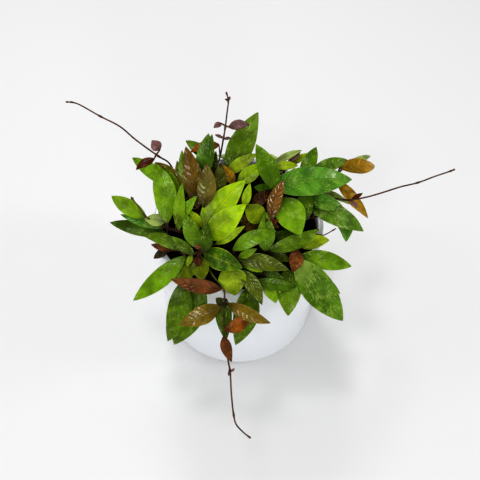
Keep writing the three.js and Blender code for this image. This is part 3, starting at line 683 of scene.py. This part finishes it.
def at_height(across, down, height):
    """The place where a pixel's sight line passes a height above the rim, in millimetres."""
    line = sight_line(across, down)
    return EYE + line * ((PLANTER_HEIGHT + height - EYE.z) / line.z)


# The dome that the leaves lie on: its crown, and how fast it falls to the sides and to the front
DOME_TOP = PLANTER_HEIGHT + 78
DOME_BACK = 40
DOME_SIDE_FALL = 0.0035
DOME_FRONT_FALL = 0.0048


def on_dome(across, down, crown_shade):
    """Where a pixel's sight line first meets the dome lowered by a depth."""
    line = sight_line(across, down)
    backward = EYE.y - DOME_BACK
    a = DOME_SIDE_FALL * line.x ** 2 + DOME_FRONT_FALL * line.y ** 2
    b = 2 * (DOME_SIDE_FALL * EYE.x * line.x + DOME_FRONT_FALL * backward * line.y) + line.z
    c = EYE.z - DOME_TOP + crown_shade + DOME_SIDE_FALL * EYE.x ** 2 + DOME_FRONT_FALL * backward ** 2
    reach = (-b - math.sqrt(max(0, b * b - 4 * a * c))) / (2 * a)
    return EYE + line * reach


def dome_normal(point):
    slope = Vector((2 * DOME_SIDE_FALL * point.x, 2 * DOME_FRONT_FALL * (point.y - DOME_BACK), 1))
    return slope.normalized()


def foliage():
    """An empty bmesh with the layers that the leaf surface reads."""
    form = bmesh.new()
    form.loops.layers.uv.new("blade")
    form.verts.layers.float_color.new("tint")
    form.verts.layers.float_color.new("margin")
    form.verts.layers.float_vector.new("traits")
    form.verts.layers.float_vector.new("span")
    form.verts.layers.float.new("gloss")
    return form


def blade(form, base, tip, wide, tint, bow=0, up=None):
    """Adds one leaf blade from its stalk end to its tip, in millimetres."""
    tints = TINTS[tint]
    axis = tip - base
    long = axis.length
    axis.normalize()
    up = up or dome_normal(base.lerp(tip, 0.5))
    normal = (up - axis * up.dot(axis)).normalized()
    side = axis.cross(normal)
    shade = LEAF_BRIGHTNESS * blade_chance.uniform(*SHADES)
    number = blade_chance.uniform(*PATTERN_PLACES)
    phase = blade_chance.uniform(0, 2 * math.pi)
    waves = blade_chance.uniform(*EDGE_WAVES)
    twist = blade_chance.uniform(*BLADE_TWISTS)
    corners = bmesh.ops.create_grid(
        form, x_segments=BLADE_COLUMNS, y_segments=BLADE_ROWS, size=0.5, calc_uvs=True)["verts"]
    layers = form.verts.layers
    for corner in corners:
        along = corner.co.y + 0.5
        across = math.sin(math.pi * corner.co.x)
        outline = math.sin(math.pi * along ** BLADE_SKEW) ** BLADE_FULLNESS if 0 < along < 1 else 0
        half = max(STALK_WIDTH * (1 - along), wide * outline, 0.1) / 2
        middle = 4 * along * (1 - along)
        offset = across * half
        fold = BLADE_FOLD * (math.hypot(offset, FOLD_ROUNDING) - FOLD_ROUNDING)
        cup = BLADE_CUP * half * (1 - across ** 2)
        wave = EDGE_WAVE * wide * abs(across) ** 2 * math.sin(waves * along * math.pi + phase) * middle
        droop = TIP_DROOP * long * (max(0, along - DROOP_START) / (1 - DROOP_START)) ** 2
        corner.co = (
            base
            + axis * (along * long)
            + side * (offset + bow * middle)
            + normal * (BLADE_ARCH * long * middle + fold + cup + wave - droop + twist * offset * along)
        )
        corner[layers.float_color["tint"]] = (*(c * shade for c in tints.colour), 1)
        corner[layers.float_color["margin"]] = (*(c * shade for c in tints.margin), 1)
        corner[layers.float_vector["traits"]] = Vector((tints.flecks, tints.quilt, tints.blotch))
        corner[layers.float_vector["span"]] = Vector((offset, along * long, number))
        corner[layers.float["gloss"]] = tints.gloss


def leafy_piece(name, node, form):
    """The blades of one stem as a thickened piece that stands for the stem's node."""
    piece = mesh_piece(name, form, leaf_top, leaf_underside)
    skin = piece.modifiers.new("thickness", "SOLIDIFY")
    skin.thickness = BLADE_THICKNESS * MM
    skin.offset = 0
    skin.material_offset = 1
    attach(piece, "root")
    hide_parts(node)


def woody_piece(name, curve):
    piece = linked(name, curve)
    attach(piece, "root")


# --- Leafy stems ------------------------------------------------------------------------------
# Fourteen rooted stems, each with its own spray of leaves. A leaf is set by the pixels of its
# stalk end and its tip, its width, and how many millimetres both lie under the dome.
Leaf = namedtuple("Leaf", "base tip wide deep tint bow", defaults=[0])
Spray = namedtuple("Spray", "root joints leaves")
LOWEST_STALK = 12
STALK_FOOT_RADIUS = 1.15 * STALK_RADIUS
STALK_END_RADIUS = 0.5 * STALK_RADIUS
STALK_UNDER_BLADE = 0.06

SPRAYS = {
    "stem_centre_left": Spray((-33, -24), [(201, 250, 16), (194, 231, 18)], [
        Leaf((204, 252), (242.5, 268), 17, (9, 3), "lime_edged"),
        Leaf((204, 251), (208, 223), 12, (8, -4), "deep"),
        Leaf((206, 239), (246, 204), 19, (11, 5), "lime"),
        Leaf((202, 234), (245.5, 180), 22, (15, 9), "lime", -2),
        Leaf((216, 244), (245, 226), 8, (14, 10), "pale"),
        Leaf((199, 248), (184.5, 213), 13, (10, 2), "green"),
        Leaf((201, 228), (190, 210.5), 9, (13, 9), "yellow_green"),
        Leaf((194, 254), (171.5, 236.5), 8.5, (10, 7), "mid"),
        Leaf((192, 255), (187, 266.5), 4.5, (10, 7), "yellow_green"),
        Leaf((193, 256), (176, 283), 18, (18, 21), "moss"),
        Leaf((200, 256), (202, 281), 14, (16, 18), "moss"),
        Leaf((198, 256), (197.5, 266.5), 6, (12, 14), "dark_red"),
    ]),
    "stem_left": Spray((-46, 4), [(180, 231, 24), (168, 228, 20), (150, 219, 16)], [
        Leaf((146, 217), (111, 196), 13, (14, 8), "bright"),
        Leaf((163, 228), (120, 214.3), 8, (20, 14), "silver"),
        Leaf((166, 221), (144.5, 219), 10, (14, 9), "sage"),
        Leaf((167, 234), (109, 222.3), 12, (24, 19), "deep"),
        Leaf((167.5, 223), (154, 163), 19, (12, 6), "green", 5.5),
        Leaf((179, 230), (182.3, 183), 9.5, (9, 0), "bright"),
        Leaf((177, 222), (196.8, 196), 9, (8, 4), "green"),
    ]),
    "stem_left_low": Spray((-50, -20), [(182, 252, 20)], [
        Leaf((181, 250), (143, 236), 10, (17, 12), "mid", 3.5),
        Leaf((186, 256), (132.5, 301), 15, (14, 8), "green", -1),
        Leaf((174, 250), (151, 244.5), 6.5, (32, 34), "red_brown"),
        Leaf((170, 248), (153.5, 258.5), 7, (34, 38), "dark_bronze"),
    ]),
    "stem_back_left": Spray((-33, 18), [(190, 212, 26), (182, 202, 22)], [
        Leaf((172, 186), (131.5, 157), 12, (22, 16), "green"),
        Leaf((183, 200), (154, 162), 13, (18, 13), "bronze", 4),
        Leaf((180, 202), (165, 165.5), 8, (16, 12), "mid", 1.5),
        Leaf((184.5, 194), (177, 160.5), 8, (22, 16), "olive"),
        Leaf((190, 196), (181.5, 150), 10, (18, 14), "mid"),
        Leaf((198, 208), (185.3, 146), 15.5, (11, 6), "brown", 2),
        Leaf((192, 172), (187, 153), 12, (46, 50), "green"),
    ]),
    "stem_back": Spray((-10, 33), [(206, 204, 24), (208, 180, 22)], [
        Leaf((211, 160), (185.5, 140.3), 10, (24, 19), "mid"),
        Leaf((203, 176), (208.5, 133), 13, (14, 8), "emerald"),
        Leaf((207, 174), (212, 134), 9, (12, 6), "emerald"),
        Leaf((213, 174), (216, 151), 6, (18, 14), "dark_olive"),
        Leaf((204, 207), (206.6, 163.5), 15, (9, 3), "taupe", 2),
        Leaf((212, 201), (220, 162.5), 12, (14, 9), "dark_olive", 3),
        Leaf((206, 158), (206, 141), 12, (46, 50), "yellow_green"),
    ]),
    "stem_back_middle": Spray((6, 30), [(235, 196, 26), (229, 178, 22)], [
        Leaf((234, 184), (221.5, 164.5), 9, (16, 10), "amber"),
        Leaf((229, 176), (258, 111.5), 21, (24, 0), "mid"),
        Leaf((227, 174), (257.5, 153.5), 10.5, (18, 12), "yellow_green"),
        Leaf((238, 184), (264, 164), 12.5, (16, 14), "lime"),
        Leaf((244, 207), (250, 183), 7, (14, 9), "lime"),
        Leaf((236, 152), (248, 131), 14, (46, 50), "green"),
        Leaf((232, 164), (237, 148), 10, (46, 54), "moss"),
    ]),
    "stem_back_right": Spray((24, 26), [(280, 194, 24), (284, 170, 26)], [
        Leaf((276, 191), (256.3, 144), 16, (7, 3), "fresh"),
        Leaf((274, 163), (302, 150), 6, (22, 17), "sage"),
        Leaf((288, 163), (300.5, 151.5), 5, (22, 19), "purple"),
        Leaf((274, 167), (298, 165.5), 8, (18, 15), "yellow_green"),
        Leaf((290, 165), (309, 153), 6, (26, 22), "yellow_green"),
        Leaf((301, 178), (316.5, 146.8), 12, (16, 9), "fresh"),
        Leaf((274, 192), (253.5, 187), 9, (21, 19), "emerald"),
        Leaf((268, 170), (263, 153), 12, (50, 62), "green"),
    ]),
    "stem_right_back": Spray((42, 12), [(288, 190, 18), (314, 180, 20), (337, 174, 20)], [
        Leaf((270, 187), (353, 178.8), 24, (11, 5), "silver"),
        Leaf((312, 171), (349, 160), 11, (16, 13), "speckled"),
        Leaf((345, 167), (371.5, 155.5), 6.5, (24, 16), "sage"),
        Leaf((340, 168), (375.5, 165), 15, (14, 11), "amber", 1.5),
        Leaf((337, 181), (368.7, 217.5), 13, (16, 13), "amber", 2.5),
        Leaf((319, 190), (350, 204), 6, (24, 26), "sage"),
        Leaf((306, 176), (309, 160), 11, (44, 54), "moss"),
    ]),
    "stem_right": Spray((48, -8), [(304, 212, 26)], [
        Leaf((308, 199), (344, 208), 13, (19, 14), "silver"),
        Leaf((308, 206), (364.5, 231), 18, (23, 19), "speckled", -1),
        Leaf((341, 212), (346.5, 241.5), 16, (30, 28), "silver"),
        Leaf((300, 222), (311.5, 193), 17, (17, 11), "deep", -3.5),
        Leaf((280, 198), (301, 235), 24, (13, 10), "green"),
    ]),
    "stem_middle": Spray((10, 0), [(266, 250, 28), (264, 224, 20)], [
        Leaf((271, 220), (284.5, 179.5), 11, (7, 3), "chestnut", -2.5),
        Leaf((252, 206), (271, 190), 10, (20, 17), "maroon"),
        Leaf((263, 221), (245, 205), 16, (20, 17), "yellow_green"),
        Leaf((259, 229), (238.5, 216.5), 14, (23, 21), "brown"),
        Leaf((265, 251), (266, 212), 14, (15, 9), "green"),
        Leaf((267.5, 223.5), (266, 218.5), 3, (13, 6), "maroon"),
        Leaf((272, 225), (279.5, 227.5), 3.5, (12, 7), "maroon"),
        Leaf((271, 223.5), (278.5, 219.5), 4, (12, 6), "dark_red"),
        Leaf((269, 250), (320, 229), 12, (16, 12), "mid", 1.5),
        Leaf((270, 237), (299, 233), 8, (23, 22), "deep"),
        Leaf((270, 252), (291, 261), 8, (24, 22), "olive"),
    ]),
    "stem_front_middle": Spray((-2, -28), [(236, 258, 24), (239, 270, 18)], [
        Leaf((233, 250), (276.5, 231), 12, (8, 2), "green", -2.5),
        Leaf((239, 257), (257, 248.7), 6.5, (11, 5), "bright"),
        Leaf((239, 259), (289, 270), 13, (13, 6), "olive", -2),
        Leaf((243, 264), (263, 272), 5, (17, 14), "lime"),
        Leaf((240, 270), (262, 305), 12, (15, 7), "olive", -2.5),
        Leaf((227, 267), (235, 295.5), 22, (17.5, 13), "yellow_green", -2),
    ]),
    "stem_right_front": Spray((36, -28), [(297, 250, 25)], [
        Leaf((297, 250), (293, 272.5), 12, (16, 9), "red_brown"),
        Leaf((301, 247), (329.5, 240.3), 12, (25, 20), "yellow_green", -2.5),
        Leaf((301, 255), (352, 266.5), 15, (20, 13), "green"),
        Leaf((294, 259), (343.8, 321.3), 26, (17, 11), "variegated", 1),
        Leaf((310, 272), (340.5, 293.8), 9, (28, 28), "green"),
    ]),
    "stem_front_right": Spray((20, -42), [(268, 274, 26), (256, 282, 22)], [
        Leaf((256, 281), (298, 287.3), 10, (15, 13), "deep"),
        Leaf((264, 271), (286, 281.7), 8, (18, 13), "deep"),
        Leaf((287, 269), (288.3, 316), 20, (21, 11), "mid"),
        Leaf((268, 277), (276, 303), 14, (20, 12), "bright"),
        Leaf((250, 286), (235.5, 345.5), 20, (17, 9), "mid", -2),
        Leaf((262, 274), (242, 264), 9, (24, 27), "deep"),
    ]),
    "stem_front_left": Spray((-30, -46), [(204, 279, 23)], [
        Leaf((184, 281), (167.3, 341.5), 20, (11, 4), "mid", -4),
        Leaf((203, 286), (174, 345), 25, (15, 9), "mid"),
    ]),
}

# Bare twigs that branch off a leafy stem, as pixels with a height above the rim, and the radius
# of the bud at the end
Twig = namedtuple("Twig", "route bud")
TWIG_RADIUS = 0.5
TWIG_TAPER = 0.8
TWIG_STEPS = 6
TWIGS = {
    "stem_left": Twig([(150, 219, 33), (146, 217, 35), (138, 206, 38), (131, 197, 40)], 1.3),
    "stem_right_front": Twig([(297, 250, 17), (306, 242, 17), (315, 234.5, 21), (324, 235, 25),
                              (330, 232, 28), (336, 228.5, 31)], 0.4),
}

# An old flower stub, ringed with short knobs where its buds dropped off
STUB_STEM = "stem_centre_left"
STUB_END = (197.5, 247, 3)
STUB_RADIUS = 1.7
STUB_TAPER = 0.7
STUB_KNOBS = 9
KNOBBED_SHARE = 0.8
KNOB_TURN = math.radians(137.5)
KNOB_LIFT = 0.3
KNOB_RADIUS = 1.1
KNOB_REACH = 2.6

for name, spray in SPRAYS.items():
    joints = [on_dome(*joint) for joint in spray.joints]
    spine = smooth_route(stem_route(spray.root, joints))
    above = [point for point in spine if point.z > SOIL_TOP + LOWEST_STALK]
    wood = woody(f"bark_{name}")
    tube(wood, spine, swelling(spine, joints, STEM_RADIUS, STEM_TAPER))
    form = foliage()
    for leaf in spray.leaves:
        base = on_dome(*leaf.base, leaf.deep[0])
        tip = on_dome(*leaf.tip, leaf.deep[1])
        joint = nearest(above, base)
        tube(wood, [joint, joint.lerp(base, 0.5), base, base.lerp(tip, STALK_UNDER_BLADE)],
             [STALK_FOOT_RADIUS, STALK_RADIUS, STALK_RADIUS, STALK_END_RADIUS])
        blade(form, base, tip, leaf.wide, leaf.tint, leaf.bow)
    if name in TWIGS:
        twig = smooth_route([at_height(*place) for place in TWIGS[name].route], TWIG_STEPS)
        twig[0] = nearest(above, twig[0])
        radii = swelling(twig, [twig[-3]], TWIG_RADIUS, TWIG_TAPER)
        radii[-2] = TWIGS[name].bud
        tube(wood, twig, radii)
    if name == STUB_STEM:
        stub_end = on_dome(*STUB_END)
        stub_start = nearest(above, stub_end)
        stub = smooth_route([stub_start, stub_start.lerp(stub_end, 0.5), stub_end])
        tube(wood, stub, swelling(stub, [stub[-2], stub[-7]], STUB_RADIUS, STUB_TAPER), SCARRED)
        for i in range(STUB_KNOBS):
            start = stub_end.lerp(stub_start, KNOBBED_SHARE * i / STUB_KNOBS)
            turn = i * KNOB_TURN
            aside = Vector((math.cos(turn), math.sin(turn), KNOB_LIFT)) * KNOB_REACH
            tube(wood, [start, start + aside * 0.6, start + aside],
                 [0.6 * KNOB_RADIUS, KNOB_RADIUS, 0.5 * KNOB_RADIUS], SCARRED)
    leafy_piece(f"leaves_{name}", name, form)
    woody_piece(f"bark_{name}", wood)


# --- Runners ----------------------------------------------------------------------------------
# Four long whips reach out past the leaves, nearly bare, with knobbed joints, a few small young
# leaves and a bud at the tip. Their places are pixels with a height above the rim.
RunnerLeaf = namedtuple("RunnerLeaf", "base tip wide tint")
Runner = namedtuple("Runner", "root route knots leaves skin", defaults=[OLD])
RUNNER_TAPER = 0.6
RUNNER_STALK_RADII = (STALK_RADIUS, 0.8 * STALK_RADIUS, 0.3)
RUNNER_STALK_UNDER_BLADE = 0.08

RUNNERS = {
    "runner_left": Runner(
        (-24, 14),
        [(184, 184, 28), (178, 178, 39), (169, 163, 50), (158.6, 156.3, 58), (136, 140, 70),
         (120, 126.6, 76), (100.6, 116.5, 81), (78, 104, 83), (71.5, 102.2, 82), (66.5, 102, 80)],
        [(158.6, 156.3, 58), (100.6, 116.5, 81), (71.5, 102.2, 82), (67, 102, 80)],
        [RunnerLeaf((159.8, 150, 62), (152, 140.5, 67), 9, "purple"),
         RunnerLeaf((154, 159, 61), (136, 169.3, 59), 8.5, "dark_red")]),
    "runner_top": Runner(
        (-12, 45),
        [(213, 172, 43), (219, 160, 55), (222.9, 141.6, 72), (225.2, 127.7, 83),
         (227, 113, 95), (228.3, 100.3, 105), (226.3, 92.3, 111)],
        [(223.8, 138, 75), (225.2, 127.7, 83), (228.3, 100.3, 105), (226.5, 93, 110.5)],
        [RunnerLeaf((219, 145, 56), (190.5, 151.5, 55), 11, "copper"),
         RunnerLeaf((229, 127, 84), (249.5, 124.5, 86), 9, "purple"),
         RunnerLeaf((221.3, 123.4, 85), (213.8, 127.6, 85), 5, "purple"),
         RunnerLeaf((222, 137.5, 76), (215, 134.8, 78), 2.6, "purple"),
         RunnerLeaf((225, 138.8, 75), (231, 138.2, 77), 2.6, "purple"),
         RunnerLeaf((227.6, 100.6, 105), (225, 99.2, 107), 2, "purple"),
         RunnerLeaf((228.8, 99.6, 105), (230.4, 96.6, 107), 2, "purple")]),
    "runner_right": Runner(
        (50, 8),
        [(316, 206, 17), (328, 202, 24), (334, 199, 29), (341, 199.3, 39), (349.8, 200, 45),
         (367, 197, 46), (385, 191.8, 49), (400, 187, 51), (417.7, 182.7, 53), (436, 176, 55),
         (450.8, 171, 56), (454.6, 169.4, 56)],
        [(349.8, 200, 45), (417.7, 182.7, 53), (450.8, 171, 56), (454, 169.6, 56)],
        [RunnerLeaf((352, 199, 45), (362.8, 193, 48), 3.6, "dark_red"),
         RunnerLeaf((351, 201, 45), (357, 208, 46), 4, "purple")]),
    "runner_front": Runner(
        (-22, -34),
        [(205, 262, 9), (214, 277, 11), (224, 290, 10), (224, 305, 7), (224, 334, 1),
         (228, 360, -6), (230, 371, -9), (231.5, 395, -15), (233.7, 415, -21), (236, 424, -23),
         (243, 432, -26), (250.5, 438, -29)],
        [(224, 290, 10), (224, 305, 7), (230, 371, -9), (233.7, 415, -21), (249.5, 437.5, -29)],
        [RunnerLeaf((221, 289, 12), (170.8, 279.5, 26), 12, "red_brown"),
         RunnerLeaf((219.5, 306, 8), (179, 325, 2), 15, "bronze"),
         RunnerLeaf((228, 303.5, 8), (270.5, 323.5, 4), 11, "bronze"),
         RunnerLeaf((225, 329.5, 2), (252, 317, -2), 12, "copper"),
         RunnerLeaf((220, 299, 6), (223.5, 337, -6), 9, "deep"),
         RunnerLeaf((226, 299, 6), (226.5, 340, -7), 9, "deep"),
         RunnerLeaf((222.5, 303, 8), (216, 298, 10), 6, "dark_olive"),
         RunnerLeaf((223.5, 337, 1), (231.5, 362, -3), 8.5, "red_brown"),
         RunnerLeaf((229.4, 371.5, -9), (228.6, 376, -9), 2, "purple"),
         RunnerLeaf((231, 371, -9), (234.6, 368.6, -7), 2, "purple")],
        YOUNG),
}

for name, runner in RUNNERS.items():
    spine = smooth_route(stem_route(runner.root, [at_height(*place) for place in runner.route]))
    knots = [at_height(*place) for place in runner.knots]
    wood = woody(f"bark_{name}")
    radii = swelling(spine, knots, RUNNER_RADIUS, RUNNER_TAPER)
    first_knot = spine.index(nearest(spine, knots[0]))
    tube(wood, spine[:first_knot + 1], radii[:first_knot + 1], runner.skin)
    tube(wood, spine[first_knot:], radii[first_knot:])
    form = foliage()
    for leaf in runner.leaves:
        base = at_height(*leaf.base)
        tip = at_height(*leaf.tip)
        joint = nearest(spine, base)
        tube(wood, [joint, base, base.lerp(tip, RUNNER_STALK_UNDER_BLADE)], RUNNER_STALK_RADII)
        blade(form, base, tip, leaf.wide, leaf.tint)
    leafy_piece(f"leaves_{name}", name, form)
    woody_piece(f"bark_{name}", wood)


# --- Low stems at the back --------------------------------------------------------------------
# Short stems behind the crown fan their leaves out and down over the rim, away from the camera.
# Each has three leaves, of which the middle one lies higher.
LOW_ROOT_RADIUS = 44
LOW_CROWN_RADIUS = 50
LOW_CROWN_HEIGHT = PLANTER_HEIGHT + 10
LOW_STALK_REACH = 12
LOW_TIP_HEIGHT = PLANTER_HEIGHT - 11
LOW_FAN = (-7, 0, 7)
LOW_FAN_LIFT = 4
LOW_BLADE_WIDTH = 12
LOW_STEM_TAPER = 0.8
LOW_TINTS = ("green", "deep", "yellow_green", "speckled", "green", "olive")
LOW_STEMS = {
    "stem_far_right": (36, 90),
    "stem_far_back_right": (64, 86),
    "stem_far_back": (93, 86),
    "stem_far_back_left": (119, 86),
    "stem_far_left": (146, 85),
}


def outward(degrees, radius, height):
    angle = math.radians(degrees)
    return Vector((radius * math.cos(angle), radius * math.sin(angle), height))


for order, (name, (turn, reach)) in enumerate(LOW_STEMS.items()):
    crown = outward(turn, LOW_CROWN_RADIUS, LOW_CROWN_HEIGHT)
    root = outward(turn, LOW_ROOT_RADIUS, 0)
    spine = smooth_route(stem_route((root.x, root.y), [crown]))
    wood = woody(f"bark_{name}")
    tube(wood, spine, swelling(spine, [crown], STEM_RADIUS, LOW_STEM_TAPER))
    form = foliage()
    for i, spread in enumerate(LOW_FAN):
        lift = LOW_FAN_LIFT * (i % 2)
        stalk_end = LOW_CROWN_RADIUS + LOW_STALK_REACH
        base = outward(turn + spread, stalk_end, LOW_CROWN_HEIGHT + lift)
        tip = outward(turn + spread, reach, LOW_TIP_HEIGHT + lift)
        tube(wood, [crown, base, base.lerp(tip, STALK_UNDER_BLADE)],
             [STALK_RADIUS, STALK_RADIUS, STALK_END_RADIUS])
        tint = LOW_TINTS[(i + order) % len(LOW_TINTS)]
        blade(form, base, tip, LOW_BLADE_WIDTH, tint, up=Vector((0, 0, 1)))
    leafy_piece(f"leaves_{name}", name, form)
    woody_piece(f"bark_{name}", wood)
